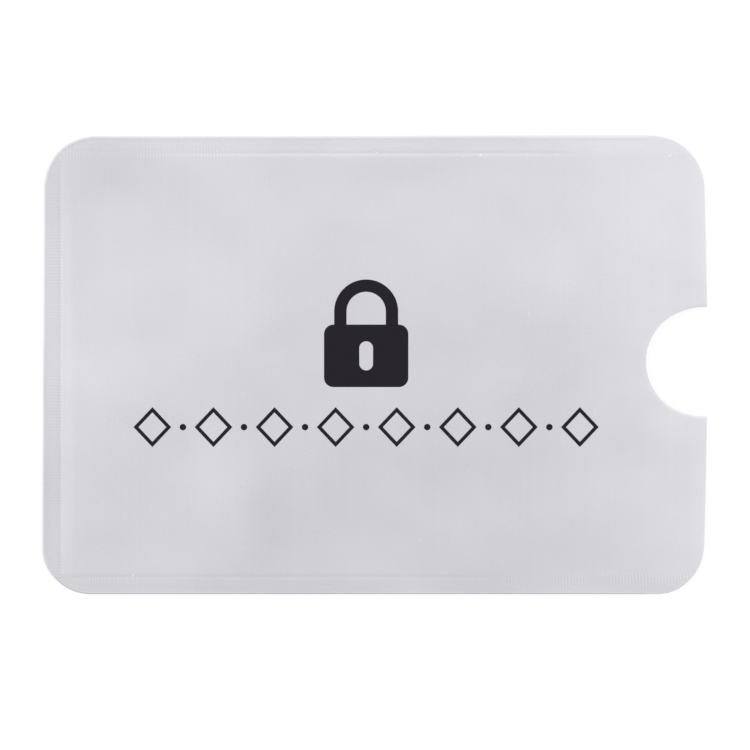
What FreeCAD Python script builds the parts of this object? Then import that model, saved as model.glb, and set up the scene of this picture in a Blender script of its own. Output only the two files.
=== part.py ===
# Foil card sleeve: two three-ply walls, heat-welded along three sides and open at one short end.
#
# The sleeve lies on its rear wall. X runs from the closed end to the mouth, Y across the width and Z up
# through the thickness. The origin is under the middle of the sleeve, on the surface that it lies on.
# Each wall is a film outside, an aluminium foil that shields the card, and a liner inside. In the bands along
# three sides the two liners are melted together into the welds. Inside the bands the walls swell apart over
# a bend, a ramp and a shoulder, and leave a flat pocket that takes a bank card.

import FreeCAD
import Part
import Sketcher
import os
from collections import namedtuple

DRIVING_DIMENSIONS = {
    # Die-cut outline
    "sleeve_length": 91.0,
    "sleeve_width": 63.0,
    "corner_radius": 6.5,
    # Thumb notch in the mouth
    "notch_radius": 7.4,
    "notch_depth": 8.1,
    "notch_offset": 0.5,
    # Plies of one wall, from the outside in
    "film_thickness": 0.03,
    "foil_thickness": 0.02,
    "liner_thickness": 0.07,
    # Welds and the swell of the pocket inside them
    "weld_width": 2.5,
    "pocket_gap": 1.0,
    "side_ramp_run": 0.35,
    "end_ramp_run": 1.6,
    "weld_bend_radius": 0.25,
    "side_shoulder_radius": 0.3,
    "end_shoulder_radius": 2.5,
    # Reach of every cutting solid past what it cuts
    "cut_overrun": 1.0,
}

# Height of each face of a wall's plies over the mid-plane of the weld, in the weld bands
LINER_UNDERSIDE = "0"
LINER_TOP = "dimensions.liner_thickness"
FOIL_TOP = f"{LINER_TOP} + dimensions.foil_thickness"
FILM_TOP = f"{FOIL_TOP} + dimensions.film_thickness"

# How far one wall swells from the mid-plane, and how high the mid-plane lies when the sleeve is laid down
SWELL = "dimensions.pocket_gap / 2"
MID_HEIGHT = f"{SWELL} + {FILM_TOP}"

HALF_LENGTH = "dimensions.sleeve_length / 2"
HALF_WIDTH = "dimensions.sleeve_width / 2"
OVERRUN = "dimensions.cut_overrun"

# Where a wall climbs out of a weld: short and steep along the sides, long and gentle at the closed end
Ramp = namedtuple("Ramp", "axis half_span run shoulder_radius")
SIDE_RAMP = Ramp("y", HALF_WIDTH, "dimensions.side_ramp_run", "dimensions.side_shoulder_radius")
END_RAMP = Ramp("x", HALF_LENGTH, "dimensions.end_ramp_run", "dimensions.end_shoulder_radius")

# The two bends of a ramp take up no more of it than this
RAMP_USED_SHARE = 0.95

ROUNDING = FreeCAD.Base.Precision.confusion()

doc = FreeCAD.newDocument("card_sleeve")


def make_sheet():
    """Writes the driving dimensions into a spreadsheet, with an alias for each."""
    made = doc.addObject("Spreadsheet::Sheet", "dimensions")
    for row, (alias, value) in enumerate(DRIVING_DIMENSIONS.items(), start=1):
        made.set(f"A{row}", alias.replace("_", " "))
        made.set(f"B{row}", str(value))
        made.setAlias(f"B{row}", alias)
    doc.recompute()
    return made


sheet = make_sheet()


def value_of(expression):
    """The number that an expression on the sheet gives."""
    return float(sheet.evalExpression(expression))


def same(length, expression):
    """Whether a length is the one that an expression gives, but for rounding."""
    return abs(length - value_of(expression)) < ROUNDING


# Sketches and features


def new_sketch(body, name, plane):
    """A sketch on one of the body's own origin planes."""
    sketch = body.newObject("Sketcher::SketchObject", name)
    support = next(face for face in body.Origin.OriginFeatures if face.Role == plane)
    sketch.AttachmentSupport = [(support, "")]
    sketch.MapMode = "FlatFace"
    return sketch


def hold_point(sketch, point, name, x=None, y=None):
    """Ties a point of a sketch to expressions for its distances from the sketch's origin."""
    origin = (-1, 1)
    for axis, expression in (("X", x), ("Y", y)):
        if expression is None:
            continue
        value = value_of(expression)
        ends = (*point, *origin) if value < 0 else (*origin, *point)
        label = f"{name}_{axis.lower()}"
        sketch.addConstraint(Sketcher.Constraint(f"Distance{axis}", *ends, abs(value)))
        sketch.renameConstraint(sketch.ConstraintCount - 1, label)
        sketch.setExpression(f"Constraints.{label}", f"abs({expression})")


def join_ends(sketch, count):
    """Joins each of a sketch's curves to the next one, and the last to the first."""
    for i in range(count):
        sketch.addConstraint(Sketcher.Constraint("Coincident", i, 2, (i + 1) % count, 1))


def draw_polygon(sketch, corners):
    """A closed polygon, from the expressions for its corners."""
    points = [FreeCAD.Vector(value_of(x), value_of(y), 0) for x, y in corners]
    for i, point in enumerate(points):
        sketch.addGeometry(Part.LineSegment(point, points[(i + 1) % len(points)]), False)
    join_ends(sketch, len(points))
    for i, (x, y) in enumerate(corners):
        hold_point(sketch, (i, 1), f"corner_{i}", x, y)


def pad_both_ways(body, sketch, name, length):
    """A pad of the sketch with half of its length on each side of the sketch's plane."""
    pad = body.newObject("PartDesign::Pad", name)
    pad.Profile = sketch
    pad.SideType = "Symmetric"
    pad.setExpression("Length", length)
    doc.recompute()
    return pad


def round_edges(body, name, radius, wanted):
    """A fillet on those edges of the body's last feature whose middle passes the test."""
    base = body.Tip
    edges = enumerate(base.Shape.Edges, start=1)
    chosen = [f"Edge{number}" for number, edge in edges if wanted(edge.CenterOfMass)]
    fillet = body.newObject("PartDesign::Fillet", name)
    fillet.Base = (base, chosen)
    fillet.setExpression("Radius", radius)
    doc.recompute()
    return fillet


def combine(kind, name, first, second):
    """A boolean of two shapes, of the kind Cut or Common."""
    made = doc.addObject(f"Part::{kind}", name)
    made.Base = first
    made.Tool = second
    return made


def make_block(name, low, high):
    """A box between two corners, each given as three expressions."""
    block = doc.addObject("Part::Box", name)
    for side, axis, start, end in zip(("Length", "Width", "Height"), "xyz", low, high):
        block.setExpression(f"Placement.Base.{axis}", start)
        block.setExpression(side, f"({end}) - ({start})")
    return block


# Outline of the sleeve


def draw_notch(body):
    """The thumb notch: a half circle, then straight out past the mouth."""
    centre_x = f"{HALF_LENGTH} - dimensions.notch_depth + dimensions.notch_radius"
    upper_y = "dimensions.notch_offset + dimensions.notch_radius"
    lower_y = "dimensions.notch_offset - dimensions.notch_radius"
    deepest_x = f"{HALF_LENGTH} - dimensions.notch_depth"
    outside_x = f"{HALF_LENGTH} + dimensions.notch_radius + {OVERRUN}"
    upper = FreeCAD.Vector(value_of(centre_x), value_of(upper_y), 0)
    lower = FreeCAD.Vector(value_of(centre_x), value_of(lower_y), 0)
    deepest = FreeCAD.Vector(value_of(deepest_x), value_of("dimensions.notch_offset"), 0)
    outer_lower = FreeCAD.Vector(value_of(outside_x), lower.y, 0)
    outer_upper = FreeCAD.Vector(value_of(outside_x), upper.y, 0)

    sketch = new_sketch(body, "notch_outline", "XY_Plane")
    sketch.addGeometry(Part.Arc(upper, deepest, lower), False)
    sketch.addGeometry(Part.LineSegment(lower, outer_lower), False)
    sketch.addGeometry(Part.LineSegment(outer_lower, outer_upper), False)
    sketch.addGeometry(Part.LineSegment(outer_upper, upper), False)
    join_ends(sketch, sketch.GeometryCount)
    arc_start, arc_end, arc_centre = (0, 1), (0, 2), (0, 3)
    hold_point(sketch, arc_start, "upper", centre_x, upper_y)
    hold_point(sketch, arc_end, "lower", centre_x, lower_y)
    hold_point(sketch, arc_centre, "centre", x=centre_x)
    hold_point(sketch, (2, 1), "outer_lower", outside_x, lower_y)
    hold_point(sketch, (2, 2), "outer_upper", outside_x, upper_y)
    return sketch


def make_die_cut():
    """The outline that the die cuts through both walls: rounded corners and a notch in the mouth."""
    body = doc.addObject("PartDesign::Body", "die_cut")
    outline = new_sketch(body, "die_outline", "XY_Plane")
    draw_polygon(outline, [
        (f"-{HALF_LENGTH}", f"-{HALF_WIDTH}"),
        (HALF_LENGTH, f"-{HALF_WIDTH}"),
        (HALF_LENGTH, HALF_WIDTH),
        (f"-{HALF_LENGTH}", HALF_WIDTH),
    ])
    depth = f"2 * ({MID_HEIGHT} + {OVERRUN})"
    pad_both_ways(body, outline, "die_block", depth)
    rounded = round_edges(
        body, "die_corners", "dimensions.corner_radius",
        lambda middle: same(abs(middle.x), HALF_LENGTH) and same(abs(middle.y), HALF_WIDTH),
    )
    whole = rounded.Shape.Volume
    notch = body.newObject("PartDesign::Pocket", "die_notch")
    notch.Profile = draw_notch(body)
    notch.SideType = "Symmetric"
    notch.setExpression("Length", depth)
    doc.recompute()
    if notch.Shape.Volume >= whole:
        raise ValueError("the thumb notch cuts nothing")
    return body


# Forms of the walls: each is the space under one face of the front wall


def bend_share(ramp):
    """How much of the straight a bend takes up on each side of its corner, per unit of its radius."""
    return f"tan(atan({SWELL} / {ramp.run}) / 2)"


def shoulder_bend(ramp):
    """The shoulder's radius, which leaves room on the ramp for the bend at the weld."""
    slant = f"sqrt(({ramp.run}) ^ 2 + ({SWELL}) ^ 2)"
    most = f"{RAMP_USED_SHARE} * {slant} / {bend_share(ramp)} - dimensions.weld_bend_radius"
    return f"min({ramp.shoulder_radius}; {most})"


def ramp_corners(ramp, face):
    """How far from the middle a face leaves the weld band, and where its ramp ends at the shoulder."""
    foot = (
        f"({ramp.half_span} - dimensions.weld_width"
        f" - (dimensions.weld_bend_radius - ({face})) * {bend_share(ramp)})"
    )
    return foot, f"({foot} - {ramp.run})"


def bend_corners(body, ramp, face):
    """Rounds the face's corners at the weld and at the shoulder, all about the same two centres."""
    foot, shoulder = ramp_corners(ramp, face)
    field = f"{SWELL} + {face}"

    def is_at(middle, distance, height):
        return same(abs(getattr(middle, ramp.axis)), distance) and same(middle.z, height)

    round_edges(
        body, f"{body.Name}_weld_bend", f"dimensions.weld_bend_radius - ({face})",
        lambda middle: is_at(middle, foot, face),
    )
    round_edges(
        body, f"{body.Name}_shoulder", f"{shoulder_bend(ramp)} + {face}",
        lambda middle: is_at(middle, shoulder, field),
    )


def make_side_form(name, face):
    """The face's form across the sleeve: weld band, ramp, flat field, ramp and weld band."""
    foot, shoulder = ramp_corners(SIDE_RAMP, face)
    field = f"{SWELL} + {face}"
    outside = f"({HALF_WIDTH} + {OVERRUN})"
    body = doc.addObject("PartDesign::Body", f"{name}_side_form")
    section = new_sketch(body, f"{name}_side_section", "YZ_Plane")
    draw_polygon(section, [
        (f"-{outside}", f"-{OVERRUN}"),
        (outside, f"-{OVERRUN}"),
        (outside, face),
        (foot, face),
        (shoulder, field),
        (f"-{shoulder}", field),
        (f"-{foot}", face),
        (f"-{outside}", face),
    ])
    pad_both_ways(body, section, f"{name}_side_pad", f"dimensions.sleeve_length + 2 * {OVERRUN}")
    bend_corners(body, SIDE_RAMP, face)
    return body


def make_end_form(name, face):
    """The face's form along the sleeve: weld band, ramp, and the field out through the mouth."""
    foot, shoulder = ramp_corners(END_RAMP, face)
    field = f"{SWELL} + {face}"
    outside = f"({HALF_LENGTH} + {OVERRUN})"
    body = doc.addObject("PartDesign::Body", f"{name}_end_form")
    section = new_sketch(body, f"{name}_end_section", "XZ_Plane")
    draw_polygon(section, [
        (f"-{outside}", f"-{OVERRUN}"),
        (outside, f"-{OVERRUN}"),
        (outside, field),
        (f"-{shoulder}", field),
        (f"-{foot}", face),
        (f"-{outside}", face),
    ])
    pad_both_ways(body, section, f"{name}_end_pad", f"dimensions.sleeve_width + 2 * {OVERRUN}")
    bend_corners(body, END_RAMP, face)
    return body


def make_form(name, face):
    """All that lies under one face of the front wall, with the ramps mitred at the closed end's corners."""
    return combine("Common", f"{name}_form", make_side_form(name, face), make_end_form(name, face))


# Pieces of the sleeve


def lay_down(piece, label):
    """Names a finished piece and lifts it from the mid-plane to where it lies on the rear wall."""
    piece.Label = label
    piece.setExpression("Placement.Base.z", MID_HEIGHT)
    return piece


def make_front_ply(name, under, over, outline):
    """One ply of the front wall: what lies between two forms, cut to an outline."""
    blank = combine("Cut", f"{name}_blank", over, under)
    return lay_down(combine("Common", f"{name}_ply", blank, outline), f"front_{name}")


def make_rear_ply(name, front):
    """The rear wall's ply, the front one's mirror image in the mid-plane."""
    rear = doc.addObject("Part::Mirroring", f"rear_{name}_ply")
    rear.Source = front
    rear.Normal = FreeCAD.Vector(0, 0, 1)
    rear.setExpression("Base.z", MID_HEIGHT)
    rear.Label = f"rear_{name}"
    return rear


def make_weld(name, low, high, die_cut):
    """A band where the two liners are melted into one strip, cut to the sleeve's outline."""
    band = make_block(f"{name}_band", (*low, f"-{LINER_TOP}"), (*high, LINER_TOP))
    return lay_down(combine("Common", f"{name}_strip", band, die_cut), f"{name}_weld")


def make_welds(die_cut):
    """The welds: along both long sides, and across the closed end between them."""
    start, end = f"-({HALF_LENGTH} + {OVERRUN})", f"{HALF_LENGTH} + {OVERRUN}"
    inner_x = f"dimensions.weld_width - {HALF_LENGTH}"
    inner_y = f"{HALF_WIDTH} - dimensions.weld_width"
    outer_y = f"{HALF_WIDTH} + {OVERRUN}"
    return [
        make_weld("upper", (start, inner_y), (end, outer_y), die_cut),
        make_weld("lower", (start, f"-({outer_y})"), (end, f"-({inner_y})"), die_cut),
        make_weld("end", (start, f"-({inner_y})"), (inner_x, inner_y), die_cut),
    ]


def make_pocket_outline(die_cut):
    """The part of the sleeve's outline inside the welds, which the liners keep to."""
    inner_y = f"{HALF_WIDTH} - dimensions.weld_width"
    reach = f"{MID_HEIGHT} + {OVERRUN}"
    window = make_block(
        "pocket_window",
        (f"dimensions.weld_width - {HALF_LENGTH}", f"-({inner_y})", f"-({reach})"),
        (f"{HALF_LENGTH} + {OVERRUN}", inner_y, reach),
    )
    return combine("Common", "pocket_outline", window, die_cut)


def make_pieces():
    """Every piece of the sleeve."""
    die_cut = make_die_cut()
    pocket_outline = make_pocket_outline(die_cut)
    underside = make_form("underside", LINER_UNDERSIDE)
    liner_form = make_form("liner", LINER_TOP)
    foil_form = make_form("foil", FOIL_TOP)
    film_form = make_form("film", FILM_TOP)
    fronts = {
        "liner": make_front_ply("liner", underside, liner_form, pocket_outline),
        "foil": make_front_ply("foil", liner_form, foil_form, die_cut),
        "film": make_front_ply("film", foil_form, film_form, die_cut),
    }
    rears = [make_rear_ply(name, front) for name, front in fronts.items()]
    return [*fronts.values(), *rears, *make_welds(die_cut)]


def check(pieces):
    """Stops before anything is written if a feature failed or a piece isn't one sound solid."""
    for made in doc.Objects:
        if "Invalid" in made.State or "Error" in made.State:
            raise RuntimeError(f"{made.Label} failed: {made.State}")
    for piece in pieces:
        shape = piece.Shape
        if shape.isNull() or not shape.isValid() or len(shape.Solids) != 1:
            raise RuntimeError(f"{piece.Label} isn't one sound solid")


def write(pieces):
    """Writes each piece to a file of its own."""
    os.makedirs("parts", exist_ok=True)
    for piece in pieces:
        piece.Shape.exportStep(f"parts/{piece.Label}.step")
        box = piece.Shape.BoundBox
        print(f"{piece.Label}: {piece.Shape.Volume:.3f} mm3, z from {box.ZMin:.3f} to {box.ZMax:.3f}")


pieces = make_pieces()
doc.recompute()
check(pieces)
write(pieces)
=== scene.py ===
"""Foil card sleeve with a printed front wall, lying on a white table and seen from straight above."""

import math
from collections import namedtuple
from functools import reduce

import bmesh
import bpy
from mathutils import Matrix, Vector, noise


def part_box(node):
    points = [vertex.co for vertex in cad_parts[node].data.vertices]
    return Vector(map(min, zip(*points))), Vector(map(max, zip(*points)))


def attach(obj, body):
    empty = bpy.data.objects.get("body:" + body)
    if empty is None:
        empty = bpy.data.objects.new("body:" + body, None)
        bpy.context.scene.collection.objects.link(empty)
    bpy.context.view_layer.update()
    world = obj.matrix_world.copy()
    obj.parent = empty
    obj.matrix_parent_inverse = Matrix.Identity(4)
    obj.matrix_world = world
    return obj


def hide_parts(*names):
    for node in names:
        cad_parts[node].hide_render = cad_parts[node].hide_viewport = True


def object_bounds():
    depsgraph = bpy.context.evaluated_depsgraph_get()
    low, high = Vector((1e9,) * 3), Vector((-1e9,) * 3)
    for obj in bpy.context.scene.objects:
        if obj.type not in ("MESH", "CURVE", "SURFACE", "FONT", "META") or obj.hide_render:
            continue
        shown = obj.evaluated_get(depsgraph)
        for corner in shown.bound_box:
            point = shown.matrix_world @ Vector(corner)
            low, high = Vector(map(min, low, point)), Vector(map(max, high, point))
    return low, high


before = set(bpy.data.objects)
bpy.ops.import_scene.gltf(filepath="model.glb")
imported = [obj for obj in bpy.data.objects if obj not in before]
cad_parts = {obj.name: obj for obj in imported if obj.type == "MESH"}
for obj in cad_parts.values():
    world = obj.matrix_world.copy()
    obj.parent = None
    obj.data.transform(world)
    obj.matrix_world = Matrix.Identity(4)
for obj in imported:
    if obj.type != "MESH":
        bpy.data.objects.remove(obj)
CAD_LOW, CAD_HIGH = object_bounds()

MM = 0.001
UP = Vector((0, 0, 1))
ALONG = Vector((1, 0, 0))
ACROSS = Vector((0, 1, 0))

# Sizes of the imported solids
FILM_LOW, FILM_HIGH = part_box("front_film")
FOIL_LOW, FOIL_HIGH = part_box("front_foil")
UPPER_WELD_LOW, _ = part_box("upper_weld")
HALF_LENGTH = FILM_HIGH.x
HALF_WIDTH = FILM_HIGH.y
WELD_WIDTH = HALF_WIDTH - UPPER_WELD_LOW.y
POCKET_HALF_WIDTH = HALF_WIDTH - WELD_WIDTH
POCKET_END = HALF_LENGTH - WELD_WIDTH
MID_HEIGHT = (CAD_LOW.z + CAD_HIGH.z) / 2

# Height of each face of a wall's plies over the mid-plane, in the weld bands
LINER_TOP = FOIL_LOW.z - MID_HEIGHT
FOIL_TOP = FILM_LOW.z - MID_HEIGHT
FILM_TOP = FOIL_TOP + FILM_HIGH.z - FOIL_HIGH.z
SWELL = FILM_HIGH.z - MID_HEIGHT - FILM_TOP

# Sizes of the die-cut outline. The solids' corners have a radius of 6.5 mm, but no two are cut quite alike.
# They are given by their sides along and across the sleeve, in order round the outline.
CORNER_RADII = {(1, 1): 7 * MM, (-1, 1): 7.1 * MM, (-1, -1): 6.4 * MM, (1, -1): 6.5 * MM}
NOTCH_RADIUS = 7.4 * MM
NOTCH_DEPTH = 8.1 * MM
NOTCH_OFFSET = 0.5 * MM
NOTCH_CENTRE = HALF_LENGTH - NOTCH_DEPTH + NOTCH_RADIUS

# How far the cut strays from that outline: the mouth bows, the closed end is a little out of square, the
# upper rim spreads towards the mouth, and so does the notch
MOUTH_BULGE = 0.34 * MM
MOUTH_SETBACK = 0.68 * MM
MOUTH_SKEW = 0.03 * MM
MOUTH_REACH = 6 * MM
END_SHIFT = 0.035 * MM
END_SKEW = 0.175 * MM
END_REACH = 2.2 * MM
RIM_SPREAD = 0.057 * MM
RIM_SPREAD_GAIN = 0.14 * MM
FLARE = 0.15 * MM
FLARE_LENGTH = 4 * MM
FLARE_REACH = 8 * MM

# Form of the front wall: a low step at its welds, which is gone before the mouth, a wide crown, and a dip
# towards the mouth. The step is wide where the sides are slack, and partly narrow at the closed end.
LIFT = 0.09 * MM
CROWN = 0.14 * MM
CROWN_REACH = 26 * MM
DIP_SHARE = 0.7
DIP_START = 22 * MM
SLACK_START = 17 * MM
SLACK_END = 33 * MM
WIDE_RISE = 12 * MM
END_STEP_SHARE = 0.14
END_STEP_WIDTH = 0.25 * MM

# Stretches where the front wall is drawn tight at its side welds: how much of the lift is in the narrow rise
# there, and from where to where the stretch begins and ends
Stretch = namedtuple("Stretch", "share start full fading end")
UPPER_TIGHT = Stretch(0.5, -42 * MM, -12 * MM, 20 * MM, 34 * MM)
LOWER_TIGHT = Stretch(0.6, -52 * MM, -43 * MM, -2 * MM, 24 * MM)

# How far the side bands bend down towards the rim, and the end band up
BAND_DROOP = 0.09 * MM
END_CURL = 0.05 * MM

# Rim that the die leaves along the welds, bevelled at the cut with a low bead beside it. The bead is another
# one along the lower half of the closed end, and at the corners of the mouth the rim fades out.
CRUSH_WIDTH = 0.18 * MM
CRUSH_SHARE = 0.6
BEAD_WIDTH = 0.13 * MM
Bead = namedtuple("Bead", "place height")
UPPER_BEAD = Bead(0.26 * MM, 0.026 * MM)
LOWER_BEAD = Bead(0.18 * MM, 0.022 * MM)
END_BEAD = Bead(0.26 * MM, 0.03 * MM)
END_BEAD_START = -2 * MM
END_BEAD_FULL = -12 * MM
RIM_WIDTH = 0.38 * MM
RIM_FADING = 36 * MM
RIM_END = 41 * MM

# Lips of the mouth and of the notch, which droop and are rounded by the cut
LIP_WIDTH = 0.7 * MM
LIP_DROP = 0.012 * MM
DROOP_WIDTH = 2.4 * MM
DROOP = 0.08 * MM
NOTCH_LIP_WIDTH = 0.38 * MM
NOTCH_LIP_DROP = 0.05 * MM

# Marks of the sealing jaws: ribs across each band, worn in places, and a groove along its inner edge
RIB_PITCH = 0.44 * MM
RIB_HEIGHT = 0.009 * MM
RIB_WORN_SHARE = 0.6
RIB_FADE = 0.3 * MM
WORN_LENGTH = 9 * MM
WORN_OFF = -0.2
WELL_PRESSED = 0.3
LEAST_PRESSED = 0.15
END_SEED_STEP = 5
GROOVE_PLACE = 0.14 * MM
GROOVE_WIDTH = 0.3 * MM
GROOVE_DEPTH = 0.02 * MM
GROOVE_FADE = 4 * MM
DEEPEST_MARK = 0.024 * MM

# Slow waves of the front wall between the welds
WAVE_HEIGHT = 0.2 * MM
WAVE_LENGTH = 30 * MM
WAVE_WIDTH = 22 * MM
WAVE_EDGE = 6 * MM

# How finely the sheets are cut: squares in the field, then rows in the bands and on the rises and rings at
# the outline, in millimetres, then the cuts in a long and a shorter edge of a band and the least they leave
FIELD_PITCH = 2 * RIB_PITCH
BAND_ROWS = (0, 0.07, 0.14, 0.24, 0.34, 0.44, 0.8, 1.4, 2.0)
SIDE_ROWS = (0.06, 0.13, 0.21, 0.3, 0.4, 0.5, 0.7, 0.9, 1.1)
END_ROWS = (0.1, 0.2, 0.35, 0.5, 0.7, 0.9, 1.1, 1.3, 1.55, 1.8)
RIM_RINGS = (0.09, 0.09, 0.08, 0.12)
RIB_CUTS = (7, 3)
FINEST_CUT = RIB_PITCH / 6
CORNER_STEPS = 24
NOTCH_STEPS = 64
SNAP = 0.002 * MM
SMOOTH_ANGLE = math.radians(28)

# The two walls: which way they face, the seed of their marks and waves, whether they lie free on the other
# one, and how far inward from the welds they rise
Wall = namedtuple("Wall", "name side seed free side_rise end_rise")
FRONT = Wall("front", 1, 129.21, True, 0.36 * MM, 1.8 * MM)
REAR = Wall("rear", -1, 11.0, False, 1.1 * MM, 1.8 * MM)


# Form of the walls


def smooth_step(low, high, value):
    """0 up to low, 1 from high on, and a soft rise between them."""
    share = min(max((value - low) / (high - low), 0), 1)
    return share * share * (3 - 2 * share)


def near_share(width, distance):
    """1 at an edge, 0 from a width on, and a curve between them, steepest at the edge."""
    return max(1 - max(distance, 0) / width, 0) ** 2


def blend(first, second, share):
    """A value between two."""
    return first + (second - first) * share


def at_mouth(x):
    """0 along most of the sleeve, and 1 near its mouth."""
    return smooth_step(RIM_FADING, RIM_END, x)


def notch_distance(x, y):
    """How far a place lies from the thumb notch."""
    return math.hypot(min(x - NOTCH_CENTRE, 0), y - NOTCH_OFFSET) - NOTCH_RADIUS


def edge_distance(x, y):
    """How far a place lies inside the die-cut outline."""
    radius = CORNER_RADII[math.copysign(1, x), math.copysign(1, y)]
    past_x = abs(x) - (HALF_LENGTH - radius)
    past_y = abs(y) - (HALF_WIDTH - radius)
    from_corner = math.hypot(max(past_x, 0), max(past_y, 0)) + min(max(past_x, past_y), 0)
    return min(radius - from_corner, notch_distance(x, y))


def stray_along(x, y):
    """How far along the sleeve the cut strays at a place: at the mouth, and at the closed end."""
    across = y / HALF_WIDTH
    mouth = smooth_step(HALF_LENGTH - MOUTH_REACH, HALF_LENGTH, x)
    end = smooth_step(HALF_LENGTH - END_REACH, HALF_LENGTH, -x)
    bow = MOUTH_BULGE + MOUTH_SKEW * across - MOUTH_SETBACK * across ** 2
    return mouth * bow + end * (END_SKEW * across - END_SHIFT)


def stray_across(x, y):
    """How far across the sleeve the cut strays at a place: at the upper rim, and beside the notch."""
    rim = max(RIM_SPREAD + RIM_SPREAD_GAIN * x / HALF_LENGTH, 0) * (1 - at_mouth(x))
    away = y - NOTCH_OFFSET
    flare = math.copysign(FLARE, away) * smooth_step(HALF_LENGTH - FLARE_LENGTH, HALF_LENGTH, x)
    fading = 1 - smooth_step(NOTCH_RADIUS, NOTCH_RADIUS + FLARE_REACH, abs(away))
    return rim * near_share(RIM_WIDTH, HALF_WIDTH - y) + flare * fading


def stretch_at(y):
    """The tight stretch of the nearer side weld."""
    return UPPER_TIGHT if y > 0 else LOWER_TIGHT


def tight_share(wall, x, y):
    """1 where a wall is drawn tight at the nearer side weld, 0 where it lies slack."""
    if not wall.free:
        return 1
    stretch = stretch_at(y)
    return smooth_step(stretch.start, stretch.full, x) * (1 - smooth_step(stretch.fading, stretch.end, x))


def missing_share(distance, narrow_share, narrow, wide):
    """How much of a rise is missing at a distance from a weld, where a share is narrow and the rest wide."""
    return blend(near_share(wide, distance), near_share(narrow, distance), narrow_share)


def swollen_share(wall, x, y):
    """0 in the weld bands, 1 in the field, and between them on the rises."""
    side_share = tight_share(wall, x, y) * (stretch_at(y).share if wall.free else 1)
    end_share = END_STEP_SHARE if wall.free else 0
    at_side = missing_share(POCKET_HALF_WIDTH - abs(y), side_share, wall.side_rise, WIDE_RISE)
    at_end = missing_share(POCKET_END + x, end_share, END_STEP_WIDTH, wall.end_rise)
    return (1 - at_side) * (1 - at_end)


def rim_share(wall, x, y):
    """1 in the weld bands, and 0 in the field and near the mouth."""
    return (1 - swollen_share(wall, x, y)) * (1 - at_mouth(x))


def crown(x, y):
    """The slow bulge of a wall that lies free: a bow across the sleeve, lower towards the mouth."""
    bow = max(1 - (y / POCKET_HALF_WIDTH) ** 2, 0)
    dip = DIP_SHARE * smooth_step(DIP_START, HALF_LENGTH, x)
    return CROWN * bow * smooth_step(0, CROWN_REACH, POCKET_END + x) * (1 - dip)


def slow_wave(wall, x, y):
    """Slow waves of the field, flat at the welds."""
    from_welds = min(POCKET_HALF_WIDTH - abs(y), POCKET_END + x)
    rise = noise.noise(Vector((x / WAVE_LENGTH, y / WAVE_WIDTH, wall.seed)))
    return WAVE_HEIGHT * rise * smooth_step(0, WAVE_EDGE, from_welds)


def swell(wall, x, y):
    """How far a wall stands off from where it is in the welds."""
    swollen = swollen_share(wall, x, y)
    if not wall.free:
        return SWELL * swollen
    lift = LIFT * (1 - smooth_step(SLACK_START, SLACK_END, x))
    lift -= DROOP * near_share(DROOP_WIDTH, HALF_LENGTH - x)
    beside_notch = min(((y - NOTCH_OFFSET) / NOTCH_RADIUS) ** 2, 1)
    lift -= NOTCH_LIP_DROP * beside_notch * near_share(NOTCH_LIP_WIDTH, notch_distance(x, y))
    lip = LIP_DROP * near_share(LIP_WIDTH, edge_distance(x, y)) * max(swollen, at_mouth(x))
    return lift * swollen - lip + crown(x, y) + slow_wave(wall, x, y)


def ply_height(wall, x, y, face):
    """Height over the table of a ply's face, given by its height over the mid-plane in the welds."""
    crush = CRUSH_SHARE * max(1 - edge_distance(x, y) / CRUSH_WIDTH, 0) * rim_share(wall, x, y)
    droop = BAND_DROOP * max(abs(y) - POCKET_HALF_WIDTH, 0) / WELD_WIDTH
    curl = END_CURL * max(-x - POCKET_END, 0) / WELD_WIDTH
    return MID_HEIGHT - droop + curl + wall.side * (face * (1 - crush) + swell(wall, x, y))


def jaw_marks(outward, along, seed, grip):
    """Relief that a sealing jaw leaves on a band, at a distance outward from the band's inner edge."""
    if outward < -RIB_FADE:
        return 0
    rib = 0.5 + 0.5 * math.cos(2 * math.pi * along / RIB_PITCH)
    worn = noise.noise(Vector((along / WORN_LENGTH, outward / WELD_WIDTH, seed)))
    pressed = blend(LEAST_PRESSED, 1, smooth_step(WORN_OFF, WELL_PRESSED, worn))
    pressed *= 1 - RIB_WORN_SHARE * smooth_step(0, WELD_WIDTH, outward)
    ribs = RIB_HEIGHT * rib * pressed * smooth_step(-RIB_FADE, RIB_FADE, outward)
    groove_side = GROOVE_WIDTH if outward > GROOVE_PLACE else GROOVE_PLACE
    groove = max(1 - abs(outward - GROOVE_PLACE) / groove_side, 0)
    return ribs - GROOVE_DEPTH * groove * grip


def weld_marks(wall, x, y):
    """Relief of all the bands: the jaws of the sides and of the closed end cross at its corners."""
    from_end = smooth_step(0, GROOVE_FADE, x + POCKET_END)
    from_sides = smooth_step(0, GROOVE_FADE, POCKET_HALF_WIDTH - abs(y))
    side_seed = wall.seed + math.copysign(1, y)
    side = jaw_marks(abs(y) - POCKET_HALF_WIDTH, x, side_seed, from_end * tight_share(wall, x, y))
    end = jaw_marks(-x - POCKET_END, y, wall.seed + END_SEED_STEP, from_sides)
    return max(side + end, -DEEPEST_MARK) * smooth_step(0, RIM_WIDTH, edge_distance(x, y))


def rim_bead(x, y):
    """Height of the bead beside the cut, which is not the same along the three welds."""
    upper = smooth_step(-POCKET_HALF_WIDTH, POCKET_HALF_WIDTH, y)
    end = smooth_step(POCKET_END, HALF_LENGTH - RIM_WIDTH, -x)
    end *= smooth_step(-END_BEAD_START, -END_BEAD_FULL, -y)
    beads = zip(LOWER_BEAD, UPPER_BEAD, END_BEAD)
    place, height = [blend(blend(low, high, upper), at_end, end) for low, high, at_end in beads]
    return height * max(1 - abs(edge_distance(x, y) - place) / BEAD_WIDTH, 0)


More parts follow.
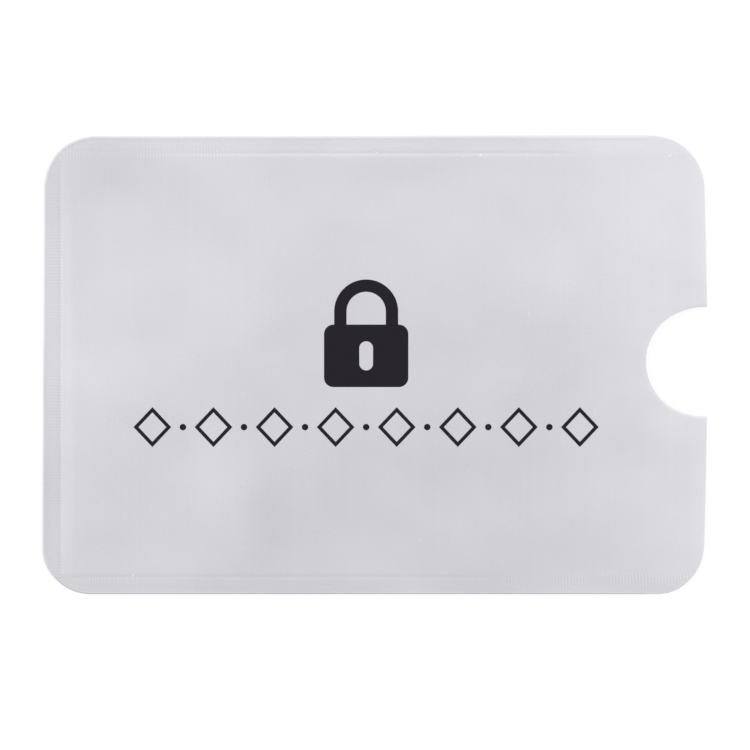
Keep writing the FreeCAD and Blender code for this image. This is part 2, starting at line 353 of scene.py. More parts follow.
def film_height(wall, x, y):
    """Height over the table of a film's outer face, with the marks of the jaws and the bead of the rim."""
    relief = weld_marks(wall, x, y) + rim_bead(x, y) * rim_share(wall, x, y)
    return ply_height(wall, x, y, FILM_TOP) + wall.side * relief


# Meshes


def all_of(bm):
    """Everything in a mesh, as the operators take it."""
    return [*bm.verts, *bm.edges, *bm.faces]


def verts_of(parts):
    """The vertices among what an operator has made."""
    return [part for part in parts if isinstance(part, bmesh.types.BMVert)]


def edges_of(parts):
    """The edges among what an operator has made."""
    return [part for part in parts if isinstance(part, bmesh.types.BMEdge)]


def inset(bm, face, width):
    """Cuts a ring of a width off the inside of a face's outline."""
    bmesh.ops.inset_region(bm, faces=[face], thickness=width, use_boundary=True, use_even_offset=True)


def add_arc(bm, centre, start, angle, steps):
    """An arc of edges about a centre, and its two end points."""
    first = bm.verts.new(start)
    made = bmesh.ops.spin(bm, geom=[first], cent=centre, axis=UP, angle=angle, steps=steps)
    return first, verts_of(made["geom_last"])[0]


def draw_outline():
    """One flat face with the die-cut outline: four round corners and the thumb notch in the mouth."""
    bm = bmesh.new()
    turns = []
    for (side_x, side_y), radius in CORNER_RADII.items():
        centre = Vector((side_x * (HALF_LENGTH - radius), side_y * (HALF_WIDTH - radius), 0))
        way_to_start = Vector((side_x + side_y, side_y - side_x, 0)) / 2
        turns.append(add_arc(bm, centre, centre + radius * way_to_start, math.pi / 2, CORNER_STEPS))
    notch_centre = Vector((NOTCH_CENTRE, NOTCH_OFFSET, 0))
    lower_lip = bm.verts.new((HALF_LENGTH, NOTCH_OFFSET - NOTCH_RADIUS, 0))
    notch = add_arc(bm, notch_centre, notch_centre - ACROSS * NOTCH_RADIUS, -math.pi, NOTCH_STEPS)
    upper_lip = bm.verts.new((HALF_LENGTH, NOTCH_OFFSET + NOTCH_RADIUS, 0))
    turns += [(lower_lip, lower_lip), notch, (upper_lip, upper_lip)]
    # A straight edge joins the end of each turn to the start of the next
    for (_, last), (first, _) in zip(turns, turns[1:] + turns[:1]):
        bm.edges.new((last, first))
    bmesh.ops.contextual_create(bm, geom=bm.edges[:])
    return bm


def cut_lines(bm, axis, places):
    """Cuts a mesh along lines square to an axis."""
    for place in places:
        bmesh.ops.bisect_plane(bm, geom=all_of(bm), dist=SNAP, plane_co=axis * place, plane_no=axis)


def field_lines(low, high):
    """Places of the field's cuts between two limits."""
    first, last = math.ceil(low / FIELD_PITCH), math.floor(high / FIELD_PITCH)
    return [step * FIELD_PITCH for step in range(first, last + 1)]


def make_blank():
    """The flat sheet that every ply is formed from, cut for its rises and its rim."""
    bm = draw_outline()
    for width in RIM_RINGS:
        inset(bm, max(bm.faces, key=lambda face: face.calc_area()), width * MM)
    side_rows = [POCKET_HALF_WIDTH + row * MM for row in BAND_ROWS]
    side_rows += [POCKET_HALF_WIDTH - row * MM for row in SIDE_ROWS]
    field_half = min(side_rows)
    cut_lines(bm, ACROSS, side_rows + [-row for row in side_rows] + field_lines(-field_half, field_half))
    end_rows = [-POCKET_END - row * MM for row in BAND_ROWS]
    end_rows += [row * MM - POCKET_END for row in END_ROWS]
    cut_lines(bm, ALONG, end_rows + field_lines(max(end_rows), HALF_LENGTH))
    return bm


def cut_for_ribs(bm):
    """Cuts the weld bands finely along their length, so that they can take the ribs."""
    tiny = SNAP / 2

    def runs_along(edge, offset, inner, outer):
        """Whether an edge lies in a band, at the same offset from end to end."""
        first, last = [offset(vert.co) for vert in edge.verts]
        return abs(first - last) < tiny and inner - RIB_FADE < first < outer - RIM_WIDTH + tiny

    side_bands = (lambda place: abs(place.y), POCKET_HALF_WIDTH, HALF_WIDTH)
    end_band = (lambda place: -place.x, POCKET_END, HALF_LENGTH)
    for band in (side_bands, end_band):
        for cuts in RIB_CUTS:
            least = FINEST_CUT * (cuts + 1)
            chosen = [edge for edge in bm.edges if runs_along(edge, *band) and edge.calc_length() > least]
            bmesh.ops.subdivide_edges(bm, edges=chosen, cuts=cuts, use_grid_fill=True)


def make_piece(name, bm, material, slot, *nodes):
    """An object from a finished mesh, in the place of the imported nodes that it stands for."""
    bmesh.ops.recalc_face_normals(bm, faces=bm.faces[:])
    mesh = bpy.data.meshes.new(name)
    bm.to_mesh(mesh)
    bm.free()
    mesh.shade_smooth()
    mesh.set_sharp_from_angle(angle=SMOOTH_ANGLE)
    mesh.materials.append(material)
    piece = bpy.data.objects.new(name, mesh)
    bpy.context.scene.collection.objects.link(piece)
    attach(piece, "root")
    if nodes:
        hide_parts(*nodes)


def form_sheet(blank, upper, lower):
    """A closed sheet on a copy of a flat blank, between two heights over the table."""
    bm = blank.copy()
    made = bmesh.ops.extrude_face_region(bm, geom=bm.faces[:], use_keep_orig=True)
    below = set(verts_of(made["geom"]))
    for vert in bm.verts:
        x, y = vert.co.xy
        height = lower if vert in below else upper
        vert.co = (x + stray_along(x, y), y + stray_across(x, y), height(x, y))
    return bm


def cut_away(blank, sides):
    """A copy of a blank without what lies outside some lines, each given by a point and a way out."""
    bm = blank.copy()
    for point, outward in sides:
        bmesh.ops.bisect_plane(
            bm, geom=all_of(bm), dist=SNAP, plane_co=point, plane_no=outward, clear_outer=True
        )
    return bm


# Nodes


def put(tree, kind, inputs=None, **settings):
    """A node with its settings, and its inputs set to values or linked to sockets."""
    node = tree.nodes.new(kind)
    for name, value in settings.items():
        setattr(node, name, value)
    for name, value in (inputs or {}).items():
        if isinstance(value, bpy.types.NodeSocket):
            tree.links.new(value, node.inputs[name])
        else:
            node.inputs[name].default_value = value
    return node


def calculate(tree, operation, *values):
    """The result of an operation on values and sockets."""
    return put(tree, "ShaderNodeMath", dict(enumerate(values)), operation=operation).outputs[0]


def total(tree, *values):
    """The sum of values and sockets."""
    return reduce(lambda first, second: calculate(tree, "ADD", first, second), values)


def product(tree, *values):
    """The product of values and sockets."""
    return reduce(lambda first, second: calculate(tree, "MULTIPLY", first, second), values)


def combine(tree, operation, *vectors):
    """The result of an operation on vectors and sockets."""
    return put(tree, "ShaderNodeVectorMath", dict(enumerate(vectors)), operation=operation).outputs["Vector"]


# From where to where a value rises or falls softly, and its two levels
Rise = namedtuple("Rise", "start end low high")


def soft_rise(tree, value, rise):
    """A value that goes softly from low to high between two limits of another one."""
    names = ("From Min", "From Max", "To Min", "To Max")
    inputs = {"Value": value, **dict(zip(names, rise))}
    return put(tree, "ShaderNodeMapRange", inputs, interpolation_type="SMOOTHSTEP").outputs[0]


def new_group(name, inputs, output):
    """An empty node group with named inputs and one output, and its two end nodes."""
    tree = bpy.data.node_groups.new(name, "ShaderNodeTree")
    for label, kind in inputs.items():
        tree.interface.new_socket(label, in_out="INPUT", socket_type=f"NodeSocket{kind}")
    tree.interface.new_socket(output, in_out="OUTPUT", socket_type="NodeSocketFloat")
    return tree, put(tree, "NodeGroupInput").outputs, put(tree, "NodeGroupOutput").inputs


def make_grain_group():
    """Noise stretched to any shape: clouds where it is broad, rolling lines where it is long and narrow."""
    inputs = {"Place": "Vector", "Fineness": "Vector"}
    tree, given, result = new_group("stretched_grain", inputs, "Grain")
    place = combine(tree, "MULTIPLY", given["Place"], given["Fineness"])
    settings = {"Vector": place, "Scale": 1.0, "Detail": 3.0, "Roughness": 0.5}
    texture = put(tree, "ShaderNodeTexNoise", settings)
    tree.links.new(texture.outputs["Fac"], result["Grain"])
    return tree


def make_speck_group():
    """Small specks, one in some of the cells of a loose grid."""
    inputs = {"Place": "Vector", "Fineness": "Vector", "Radius": "Float", "Share": "Float"}
    tree, given, result = new_group("scattered_specks", inputs, "Specks")
    place = combine(tree, "MULTIPLY", given["Place"], given["Fineness"])
    texture = put(tree, "ShaderNodeTexVoronoi", {"Vector": place, "Scale": 1.0}, voronoi_dimensions="2D")
    cells = texture.outputs
    chance = put(tree, "ShaderNodeSeparateColor", {0: cells["Color"]}).outputs[0]
    chosen = calculate(tree, "LESS_THAN", chance, given["Share"])
    near = calculate(tree, "LESS_THAN", cells["Distance"], given["Radius"])
    tree.links.new(product(tree, chosen, near), result["Specks"])
    return tree


def make_patch_group():
    """A soft oval patch about a place, 1 in its middle and 0 from its reach on."""
    inputs = {"Place": "Vector", "Middle": "Vector", "Reach": "Vector"}
    tree, given, result = new_group("soft_patch", inputs, "Patch")
    away = combine(tree, "SUBTRACT", given["Place"], given["Middle"])
    away = combine(tree, "DIVIDE", away, given["Reach"])
    distance = put(tree, "ShaderNodeVectorMath", {0: away}, operation="LENGTH").outputs["Value"]
    tree.links.new(soft_rise(tree, distance, Rise(0, 1, 1, 0)), result["Patch"])
    return tree


GRAIN_GROUP = make_grain_group()
SPECK_GROUP = make_speck_group()
PATCH_GROUP = make_patch_group()


def use_group(tree, group, inputs):
    """The output of a node group with its inputs."""
    return put(tree, "ShaderNodeGroup", inputs, node_tree=group).outputs[0]


def grain(tree, place, fineness):
    """A grain of a given fineness, in cycles per metre along each axis."""
    return use_group(tree, GRAIN_GROUP, {"Place": place, "Fineness": fineness})


# Materials


def new_material(name):
    """A material, its node tree and its Principled shader."""
    material = bpy.data.materials.new(name)
    material.use_nodes = True
    tree = material.node_tree
    return material, tree, tree.nodes["Principled BSDF"]


def object_place(tree):
    """The object coordinates of a place on the surface, in metres."""
    return put(tree, "ShaderNodeTexCoord").outputs["Object"]


def tones(colour, shares):
    """A colour in a darker and a paler tone."""
    return [[share * part for part in colour] for share in shares]


def set_colour(tree, shader, colours, tone):
    """A base colour between a dark one and a pale one, by a tone from 0 to 1."""
    mix = put(tree, "ShaderNodeMix", {"Factor": tone}, data_type="RGBA")
    dark, pale = colours
    # A mix node has sockets for numbers, vectors and colours: these are the ones for colours
    mix.inputs[6].default_value = (*dark, 1)
    mix.inputs[7].default_value = (*pale, 1)
    tree.links.new(mix.outputs[2], shader.inputs["Base Color"])


def set_roughness(tree, shader, limits, value):
    """A roughness between two limits, by a value from 0 to 1."""
    least, most = limits
    rough = put(tree, "ShaderNodeMapRange", {"Value": value, "To Min": least, "To Max": most})
    tree.links.new(rough.outputs[0], shader.inputs["Roughness"])


def add_relief(tree, shader, height, depth):
    """Fine relief on a material."""
    bump = put(tree, "ShaderNodeBump", {"Height": height, "Distance": depth})
    tree.links.new(bump.outputs["Normal"], shader.inputs["Normal"])


# Look of the film: its colour and the tones that it goes between, its roughness, the depth of its relief, and
# its grains, each with a fineness in cycles per metre and a strength
SILVER = (0.771, 0.763, 0.801)
SILVER_TONES = (0.85, 1.15)
MID_TONE = 0.5
SILVER_ROUGHNESS = (0.19, 0.25)
SILVER_RELIEF = 0.0007 * MM
Grain = namedtuple("Grain", "fineness tone")
CLOUDS = Grain((45, 60, 45), 0.7)
ROLLING_LINES = Grain((3600, 30, 0), 0.09)
FINE_GRAIN = Grain((5200, 2600, 0), 0.38)
JAW_STREAKS = Grain((60, 4200, 0), 0.3)

# Specks of the film: the fineness of their grid, their size in it, and how many and how bright they are. The
# bright specks and the glints along the side bands' inner edges are painted highlights.
Specks = namedtuple("Specks", "fineness radius share tone")
PAINTED_GLINT_SPECKS = Specks((160, 160, 160), 0.018, 0.12, 0.3)
SCRATCHES = Specks((330, 75, 330), 0.025, 0.06, 0.2)
PAINTED_EDGE_GLINTS = Specks((420, 420, 420), 0.07, 0.2, 1)
# How far from a side band's inner edge the painted glints lie
PAINTED_GLINT_BAND = 0.3 * MM

# Light and shade of the jaws' ribs, painted into the film's tone: how far from the band's inner edge it
# fades, how strong it is at it, what share of that is left farther off, and the fineness of the ribs' wear
RIB_SHOWN = 0.9 * MM
RibShading = namedtuple("RibShading", "tone far_share wear")
SIDE_RIB_SHADING = RibShading(0.15, 0.25, (150, 40, 0))
END_RIB_SHADING = RibShading(0.08, 0.7, (0, 110, 0))
PRESSED_RIBS = Rise(0.42, 0.56, LEAST_PRESSED, 1)

# Along the side welds the painted rib shading is strongest at the closed end of the upper one and the
# mouth's end of the lower one, and on the lower one stronger by twice this lean
SIDE_RIB_SHADING_ALONG = Rise(12 * MM, 24 * MM, 0.4, 1)
SIDE_RIB_SHADING_LEAN = 0.15

# Soft patches of painted light and shade, where the film is painted paler or darker: middle and reach in
# millimetres, and tone
Patch = namedtuple("Patch", "x y along across tone")
PAINTED_SHADING_PATCHES = [
    Patch(-47, -17, 4.5, 18, -0.3),
    Patch(-44, 22.5, 10, 9, -0.19),
    Patch(-42, -14, 6, 9, -0.1),
    # A narrow one paints a pale strip of light just inside the weld at the closed end
    Patch(-41.9, -6, 1.3, 30, 0.09),
    Patch(-37, 28, 12, 9, -0.34),
    Patch(-37, -1, 12, 8, 0.22),
    Patch(-22, -16, 8, 11, 0.22),
    Patch(-20, 25, 9, 6, 0.13),
    Patch(-14, -20, 6, 12, -0.2),
    Patch(-12, 5, 7, 6, -0.15),
    Patch(-6, -26, 12, 7, 0.12),
    Patch(2, 25, 8, 5, -0.13),
    Patch(5, 27.5, 17, 3.5, -0.12),
    Patch(6, -11, 22, 13, -0.2),
    Patch(27, -6, 15, 22, -0.26),
    Patch(29, -22.5, 15, 6, -0.14),
    Patch(31, 31, 12, 5, 0.14),
    Patch(37, 18, 14, 16, 0.12),
    Patch(41, 8, 6, 5, 0.1),
    Patch(41, -8, 6, 5, 0.25),
    Patch(43, -25, 8, 8, 0.12),
]


def grain_tone(tree, value, look):
    """A grain as a tone about zero."""
    return product(tree, total(tree, value, -MID_TONE), look.tone)


def speck_tone(tree, place, look):
    """Specks as a tone."""
    inputs = {"Place": place, "Fineness": look.fineness, "Radius": look.radius, "Share": look.share}
    return product(tree, use_group(tree, SPECK_GROUP, inputs), look.tone)


def painted_shading_tone(tree, place, patch):
    """A soft patch of painted light and shade, as a tone."""
    middle = (patch.x * MM, patch.y * MM, 0)
    reach = (patch.along * MM, patch.across * MM, 1)
    oval = use_group(tree, PATCH_GROUP, {"Place": place, "Middle": middle, "Reach": reach})
    return product(tree, oval, patch.tone)


def painted_rib_shading(tree, place, look, along, outward):
    """Painted light and shade of a sealing jaw's ribs as a tone, at a distance outward from the band's inner
    edge.
    """
    wave = calculate(tree, "COSINE", product(tree, along, 2 * math.pi / RIB_PITCH))
    from_line = calculate(tree, "ABSOLUTE", outward)
    near_line = soft_rise(tree, from_line, Rise(0, RIB_SHOWN, 1, look.far_share))
    in_band = calculate(tree, "GREATER_THAN", outward, -RIB_FADE)
    pressed = soft_rise(tree, grain(tree, place, look.wear), PRESSED_RIBS)
    return product(tree, wave, near_line, in_band, pressed, look.tone)


def side_rib_shading_share(tree, x, y):
    """How strongly the painted rib shading shows at a place along the side welds."""
    upper = calculate(tree, "SIGN", y)
    along = soft_rise(tree, product(tree, x, upper, -1), SIDE_RIB_SHADING_ALONG)
    return product(tree, along, total(tree, 1 + SIDE_RIB_SHADING_LEAN, product(tree, upper, -SIDE_RIB_SHADING_LEAN)))


def make_silver_film():
    """Satin metallised film: clouds, patches of painted light and shade, fine rolling lines across the
    sleeve, bright specks painted as glints, and scratches.

    The jaws have drawn fine streaks along the side welds and ribbed all three bands. The ribs' light and
    shade is painted into the tone, and painted glints lie along the side bands' inner edges.
    """
    material, tree, shader = new_material("silver_film")
    place = object_place(tree)
    split = put(tree, "ShaderNodeSeparateXYZ", {0: place}).outputs
    x, y = split["X"], split["Y"]
    across = calculate(tree, "ABSOLUTE", y)
    past_side = total(tree, across, -POCKET_HALF_WIDTH)
    past_end = total(tree, product(tree, x, -1), -POCKET_END)
    on_side_weld = calculate(tree, "GREATER_THAN", across, POCKET_HALF_WIDTH)
    painted_glint_line = calculate(tree, "COMPARE", across, POCKET_HALF_WIDTH, PAINTED_GLINT_BAND)
    clouds = grain(tree, place, CLOUDS.fineness)
    lines = grain(tree, place, ROLLING_LINES.fineness)
    fine = grain(tree, place, FINE_GRAIN.fineness)
    streaks = grain(tree, place, JAW_STREAKS.fineness)
    # The film's own marks together with its painted light and shade
    marks_and_painted_light = [
        grain_tone(tree, clouds, CLOUDS),
        grain_tone(tree, lines, ROLLING_LINES),
        grain_tone(tree, fine, FINE_GRAIN),
        product(tree, grain_tone(tree, streaks, JAW_STREAKS), on_side_weld),
        speck_tone(tree, place, PAINTED_GLINT_SPECKS),
        speck_tone(tree, place, SCRATCHES),
        product(tree, speck_tone(tree, place, PAINTED_EDGE_GLINTS), painted_glint_line),
        product(tree, painted_rib_shading(tree, place, SIDE_RIB_SHADING, x, past_side), side_rib_shading_share(tree, x, y)),
        painted_rib_shading(tree, place, END_RIB_SHADING, y, past_end),
        *[painted_shading_tone(tree, place, patch) for patch in PAINTED_SHADING_PATCHES],
    ]
    set_colour(tree, shader, tones(SILVER, SILVER_TONES), total(tree, MID_TONE, *marks_and_painted_light))
    set_roughness(tree, shader, SILVER_ROUGHNESS, clouds)
    shader.inputs["Metallic"].default_value = 1.0
    add_relief(tree, shader, total(tree, lines, fine), SILVER_RELIEF)
    return material


# Look of the foil, the liner and the ink: colours, and grains in cycles per metre
FOIL = (0.80, 0.80, 0.82)
FOIL_TONES = (0.9, 1.05)
FOIL_LINES = (4000, 60, 0)
FOIL_RELIEF = 0.001 * MM
LINER = (0.72, 0.72, 0.73)
LINER_TONES = (0.92, 1.06)
LINER_CLOUDS = (90, 90, 90)
LINER_LINES = (60, 2600, 0)
LINER_RELIEF = 0.001 * MM
DEEP_INK = (0.011, 0.009, 0.013)
THIN_INK = (0.016, 0.014, 0.018)
INK_ROUGHNESS = (0.55, 0.7)
INK_COVER = (700, 700, 0)


def make_aluminium_foil():
    """Bright rolled foil, seen only at the cut edges."""
    material, tree, shader = new_material("aluminium_foil")
    lines = grain(tree, object_place(tree), FOIL_LINES)
    set_colour(tree, shader, tones(FOIL, FOIL_TONES), lines)
    shader.inputs["Metallic"].default_value = 1.0
    shader.inputs["Roughness"].default_value = 0.3
    add_relief(tree, shader, lines, FOIL_RELIEF)
    return material


def make_sealing_liner():
    """Milky inner liner with a soft satin face."""
    material, tree, shader = new_material("sealing_liner")
    place = object_place(tree)
    set_colour(tree, shader, tones(LINER, LINER_TONES), grain(tree, place, LINER_CLOUDS))
    shader.inputs["Roughness"].default_value = 0.5
    add_relief(tree, shader, grain(tree, place, LINER_LINES), LINER_RELIEF)
    return material


def make_black_ink():
    """Black printing ink, with slight unevenness."""
    material, tree, shader = new_material("black_ink")
    cover = grain(tree, object_place(tree), INK_COVER)
    set_colour(tree, shader, (DEEP_INK, THIN_INK), cover)
    set_roughness(tree, shader, INK_ROUGHNESS, cover)
    shader.inputs["Specular IOR Level"].default_value = 0.15
    return material


SILVER_FILM = make_silver_film()
ALUMINIUM_FOIL = make_aluminium_foil()
SEALING_LINER = make_sealing_liner()
BLACK_INK = make_black_ink()


# The sleeve


# The closed sides of the pocket, each given by a point and the way out
POCKET_SIDES = [
    (ACROSS * POCKET_HALF_WIDTH, ACROSS),
    (-ACROSS * POCKET_HALF_WIDTH, -ACROSS),
    (-ALONG * POCKET_END, -ALONG),
]


def film_face(wall):
    """The outer face of a wall's film, as a height at a place."""
    return lambda x, y: film_height(wall, x, y)


def ply_face(wall, face):
    """A face between two plies of a wall, as a height at a place."""
    return lambda x, y: ply_height(wall, x, y, face)


def make_wall(wall, blank):
    """Film, foil and liner of a wall, formed from blanks of the same outline."""
    ribbed = blank.copy()
    cut_for_ribs(ribbed)
    film = form_sheet(ribbed, film_face(wall), ply_face(wall, FOIL_TOP))
    foil = form_sheet(blank, ply_face(wall, FOIL_TOP), ply_face(wall, LINER_TOP))
    liner = form_sheet(cut_away(blank, POCKET_SIDES), ply_face(wall, LINER_TOP), ply_face(wall, 0))
    make_piece(f"{wall.name}_film_sheet", film, SILVER_FILM, "silver_film", f"{wall.name}_film")
    make_piece(f"{wall.name}_foil_sheet", foil, ALUMINIUM_FOIL, "aluminium_foil", f"{wall.name}_foil")
    make_piece(f"{wall.name}_liner_sheet", liner, SEALING_LINER, "sealing_liner", f"{wall.name}_liner")


def make_weld_strips(blank):
    """The three welds between the foils, crushed at the rim as the walls are."""
    upper, lower, end = [(point, -outward) for point, outward in POCKET_SIDES]
    strips = {
        "upper_weld": [upper],
        "lower_weld": [lower],
        "end_weld": [end, POCKET_SIDES[0], POCKET_SIDES[1]],
    }
    for node, sides in strips.items():
        strip = form_sheet(cut_away(blank, sides), ply_face(FRONT, LINER_TOP), ply_face(REAR, LINER_TOP))
        make_piece(f"{node}_strip", strip, SEALING_LINER, "sealing_liner", node)


# Print on the front wall: a padlock over a row of lozenges and dots

INK_OVER_FILM = 0.006 * MM
INK_IN_FILM = 0.002 * MM
PRINT_MIDDLE = -1.1 * MM
LOCK_WIDTH = 11.6 * MM
LOCK_LOW = -3.0 * MM
LOCK_HIGH = 5.6 * MM
LOCK_CORNER = 1.3 * MM
LOCK_CORNER_STEPS = 8
KEYHOLE_RADIUS = 0.95 * MM
KEYHOLE_SLOT = 2.1 * MM
KEYHOLE_STEPS = 32
SHACKLE_RADIUS = 4.4 * MM
SHACKLE_STROKE = 1.7 * MM
SHACKLE_LEG = 1.8 * MM
SHACKLE_STEPS = 40
ROW_HEIGHT = -8.5 * MM
LOZENGES = 8
LOZENGE_PITCH = 8.4 * MM
LOZENGE_HALF = Vector((2.6 * MM, 2.75 * MM, MM))
LOZENGE_STROKE = 0.5 * MM
DOT_RADIUS = 0.45 * MM
DOT_STEPS = 28


def add_lock_body(bm):
    """The padlock's body: a plate with round corners and a keyhole."""
    middle = Vector((PRINT_MIDDLE, (LOCK_LOW + LOCK_HIGH) / 2, 0))
    place = Matrix.LocRotScale(middle, None, Vector((LOCK_WIDTH, LOCK_HIGH - LOCK_LOW, 1)))
    plate = bmesh.ops.create_grid(bm, x_segments=1, y_segments=1, size=0.5, matrix=place)["verts"]
    bmesh.ops.bevel(
        bm, geom=plate, affect="VERTICES", offset=LOCK_CORNER, segments=LOCK_CORNER_STEPS,
        profile=0.5, material=-1,
    )
    face = next(iter(bm.faces))
    outline = list(face.edges)
    keyhole = bmesh.ops.create_circle(
        bm, segments=KEYHOLE_STEPS, radius=KEYHOLE_RADIUS, matrix=Matrix.Translation(middle)
    )["verts"]
    for vert in keyhole:
        vert.co.y += math.copysign(KEYHOLE_SLOT / 2, vert.co.y - middle.y)
    outline += {edge for vert in keyhole for edge in vert.link_edges}
    bmesh.ops.delete(bm, geom=[face], context="FACES_ONLY")
    bmesh.ops.triangle_fill(bm, edges=outline, use_beauty=True, normal=UP)


def grow(bm, edge, way):
    """A strip from an edge to a new one, which is moved a way off."""
    made = bmesh.ops.extrude_edge_only(bm, edges=[edge])["geom"]
    bmesh.ops.translate(bm, verts=verts_of(made), vec=way)
    return edges_of(made)[0]


def add_shackle(bm):
    """The padlock's shackle: a leg, half a turn and a leg."""
    arch = Vector((PRINT_MIDDLE, LOCK_HIGH + SHACKLE_LEG, 0))
    outer = bm.verts.new((PRINT_MIDDLE - SHACKLE_RADIUS, LOCK_HIGH, 0))
    inner = bm.verts.new((PRINT_MIDDLE - SHACKLE_RADIUS + SHACKLE_STROKE, LOCK_HIGH, 0))
    top = grow(bm, bm.edges.new((outer, inner)), ACROSS * SHACKLE_LEG)
    turned = bmesh.ops.spin(
        bm, geom=[top, *top.verts], cent=arch, axis=UP, angle=-math.pi, steps=SHACKLE_STEPS
    )
    grow(bm, edges_of(turned["geom_last"])[0], -ACROSS * SHACKLE_LEG)


def add_lozenge_row(bm):
    """Open lozenges in a row, with a dot between each two."""
    start = PRINT_MIDDLE - LOZENGE_PITCH * (LOZENGES - 1) / 2
    for step in range(LOZENGES):
        middle = Vector((start + step * LOZENGE_PITCH, ROW_HEIGHT, 0))
        place = Matrix.LocRotScale(middle, None, LOZENGE_HALF)
        corners = bmesh.ops.create_circle(bm, cap_ends=True, segments=4, radius=1, matrix=place)["verts"]
        face = corners[0].link_faces[0]
        inset(bm, face, LOZENGE_STROKE)
        bmesh.ops.delete(bm, geom=[face], context="FACES")
        if step:
            dot = Matrix.Translation(middle - ALONG * LOZENGE_PITCH / 2)
            bmesh.ops.create_circle(bm, cap_ends=True, segments=DOT_STEPS, radius=DOT_RADIUS, matrix=dot)


def make_print():
    """The ink, a thin layer that lies on the front film and follows its waves."""
    bm = bmesh.new()
    add_lock_body(bm)
    add_shackle(bm)
    add_lozenge_row(bm)
    reach_x = max(abs(vert.co.x) for vert in bm.verts)
    reach_y = max(abs(vert.co.y) for vert in bm.verts)
    cut_lines(bm, ALONG, field_lines(-reach_x, reach_x))
    cut_lines(bm, ACROSS, field_lines(-reach_y, reach_y))
    ink = form_sheet(
        bm,
        lambda x, y: film_height(FRONT, x, y) + INK_OVER_FILM,
        lambda x, y: film_height(FRONT, x, y) - INK_IN_FILM,
    )
    bm.free()
    make_piece("front_print", ink, BLACK_INK, "silver_film")


flat_blank = make_blank()
make_wall(FRONT, flat_blank)
make_wall(REAR, flat_blank)
make_weld_strips(flat_blank)
make_print()


# Table, light and camera


# How far the table reaches to each side and lies under the rear wall, how white it is, how much of that the
# camera sees, and its glow there
TABLE_REACH = 3.0
TABLE_GAP = 0.02 * MM
TABLE_LIT = (0.92, 0.92, 0.92)
TABLE_SEEN = (0.15, 0.15, 0.15)
TABLE_GLOW = 0.87


def make_table():
    """A white table top, which keeps the sleeve's soft shadow."""
    bm = bmesh.new()
    bmesh.ops.create_grid(bm, x_segments=1, y_segments=1, size=TABLE_REACH)
    mesh = bpy.data.meshes.new("table")
    bm.to_mesh(mesh)
    bm.free()
    table = bpy.data.objects.new("table", mesh)
    bpy.context.scene.collection.objects.link(table)
    table.location.z = CAD_LOW.z - TABLE_GAP
    material, tree, shader = new_material("white_table")
    shader.inputs["Roughness"].default_value = 0.9
    shader.inputs["Specular IOR Level"].default_value = 0.0
    light_path = put(tree, "ShaderNodeLightPath").outputs
    seen = calculate(tree, "MAXIMUM", light_path["Is Camera Ray"], light_path["Is Glossy Ray"])
    seen = calculate(tree, "MAXIMUM", seen, light_path["Is Transmission Ray"])
    set_colour(tree, shader, (TABLE_LIT, TABLE_SEEN), seen)
    shader.inputs["Emission Color"].default_value = (1, 1, 1, 1)
    tree.links.new(product(tree, seen, TABLE_GLOW), shader.inputs["Emission Strength"])
    mesh.materials.append(material)


# How bright the room is in each direction: every rise goes with the direction's part along X, Y or Z
OVERHEAD_STRIPE = Rise(0.0, 0.22, 0.825, 0.935)
SIDES = Rise(0.2, 0.6, 0.0, 0.07)
FAR_SIDES = Rise(0.6, 0.8, 0.0, 0.12)
MOUTH_SIDE = Rise(0.08, 0.2, 0.0, 0.045)
UPPER_SIDE = Rise(-0.30, 0.45, -0.08, 0.125)
WINDOW = Rise(0.55, 0.75, 0.0, 0.17)
WINDOW_SILL = Rise(0.4, 0.6, 0.0, 1.0)
LOW_DOWN = Rise(0.1, 0.65, 0.5, 1.0)


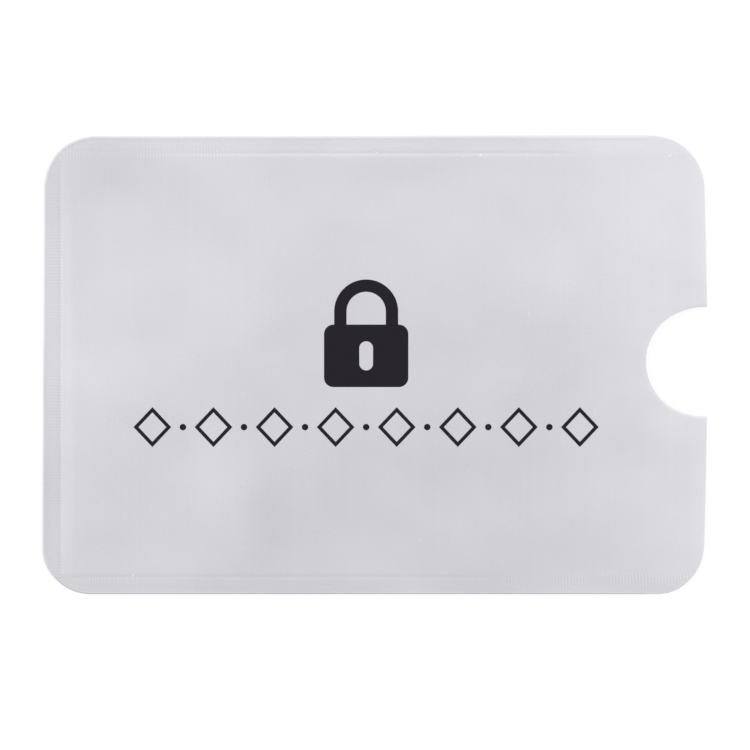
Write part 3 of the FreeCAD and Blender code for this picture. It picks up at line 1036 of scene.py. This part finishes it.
def make_room():
    """A pale room, darker overhead, where the camera is, and low down, with a window at the upper side."""
    world = bpy.data.worlds.new("pale_room")
    world.use_nodes = True
    tree = world.node_tree
    way = put(tree, "ShaderNodeTexCoord").outputs["Generated"]
    split = put(tree, "ShaderNodeSeparateXYZ", {0: way}).outputs
    x, y, z = split["X"], split["Y"], split["Z"]
    beside = calculate(tree, "ABSOLUTE", x)
    level = total(
        tree,
        soft_rise(tree, beside, OVERHEAD_STRIPE),
        soft_rise(tree, beside, SIDES),
        soft_rise(tree, beside, FAR_SIDES),
        soft_rise(tree, x, MOUTH_SIDE),
        soft_rise(tree, y, UPPER_SIDE),
        product(tree, soft_rise(tree, y, WINDOW), soft_rise(tree, z, WINDOW_SILL)),
    )
    level = product(tree, level, soft_rise(tree, z, LOW_DOWN))
    seen = put(tree, "ShaderNodeLightPath").outputs["Is Camera Ray"]
    level = put(tree, "ShaderNodeMix", {"Factor": seen, "A": level, "B": 1.0}, data_type="FLOAT").outputs[0]
    background = tree.nodes["Background"]
    tree.links.new(level, background.inputs["Strength"])
    background.inputs["Color"].default_value = (1, 1, 1, 1)
    bpy.context.scene.world = world


LAMP_PLACE = Vector((0.9, 0.2, 0.9))
LAMP_SIZE = 0.8
LAMP_POWER = 0.15


def make_lamp():
    """A broad soft lamp, over the mouth of the sleeve."""
    light = bpy.data.lights.new("soft_lamp", "AREA")
    light.size = LAMP_SIZE
    light.energy = LAMP_POWER
    lamp = bpy.data.objects.new("soft_lamp", light)
    bpy.context.scene.collection.objects.link(lamp)
    lamp.location = LAMP_PLACE
    lamp.rotation_euler = (-LAMP_PLACE).to_track_quat("-Z", "Y").to_euler()


# The picture's width and middle at the height of the weld bands, and the lens and sensor in millimetres
PICTURE_WIDTH = 103.2 * MM
PICTURE_X = 0.114 * MM
PICTURE_Y = -1.334 * MM
LENS = 100
SENSOR = 36
NEAREST_SEEN = 0.01
FARTHEST_SEEN = 10


def make_camera():
    """The camera straight over the sleeve, which lies a little above the middle of the picture."""
    lens = bpy.data.cameras.new("camera")
    lens.lens = LENS
    lens.sensor_width = SENSOR
    lens.clip_start = NEAREST_SEEN
    lens.clip_end = FARTHEST_SEEN
    camera = bpy.data.objects.new("camera", lens)
    bpy.context.scene.collection.objects.link(camera)
    distance = PICTURE_WIDTH * LENS / SENSOR
    camera.location = (PICTURE_X, PICTURE_Y, MID_HEIGHT + FILM_TOP + distance)
    bpy.context.scene.camera = camera


make_table()
make_room()
make_lamp()
make_camera()
bpy.context.scene.view_settings.view_transform = "Standard"
